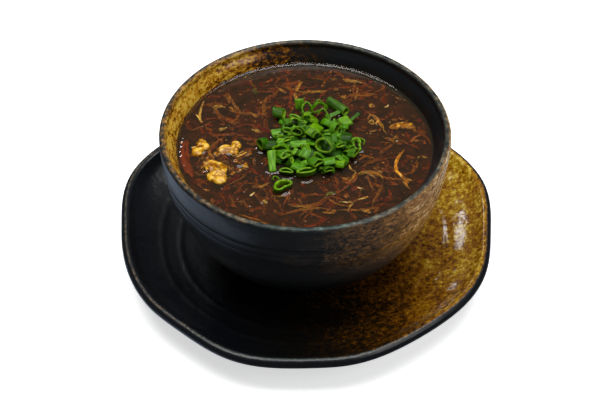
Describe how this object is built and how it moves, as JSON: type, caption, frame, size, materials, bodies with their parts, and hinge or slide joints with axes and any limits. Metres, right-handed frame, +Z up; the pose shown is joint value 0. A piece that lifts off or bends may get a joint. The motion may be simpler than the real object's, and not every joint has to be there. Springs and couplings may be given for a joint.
{
  "type": "bowl of hot and sour soup",
  "caption": "Deep glazed stoneware bowl of dark thick soup with egg curds, vegetable shreds and a heap of cut scallions, on an octagonal underplate.",
  "frame": {"origin": "middle of the underplate's footprint, on the table", "axes": "+Z up; -Y is the front, where the glaze is darkest; +X is to the right, where the glaze is amber"},
  "size_m": [0.2174, 0.2164, 0.0977],
  "materials": {
    "plate_glaze": "gloss",
    "bowl_glaze": "gloss",
    "soup": "gloss",
    "scallion": "satin",
    "egg": "satin",
    "carrot": "satin",
    "bamboo": "satin"
  },
  "bodies": {
    "root": {"plate": "plate_glaze", "bowl": "bowl_glaze", "soup": "soup", "scallion_heap": "scallion", "scallion_ring_front": "scallion", "scallion_tube_left": "scallion", "scallion_tube_right": "scallion", "egg_curd_1": "egg", "egg_curd_2": "egg", "egg_curd_3": "egg", "egg_curd_4": "egg", "carrot_strip": "carrot", "bamboo_strip": "bamboo", "egg_ribbon": "egg"}
  },
  "joints": []
}
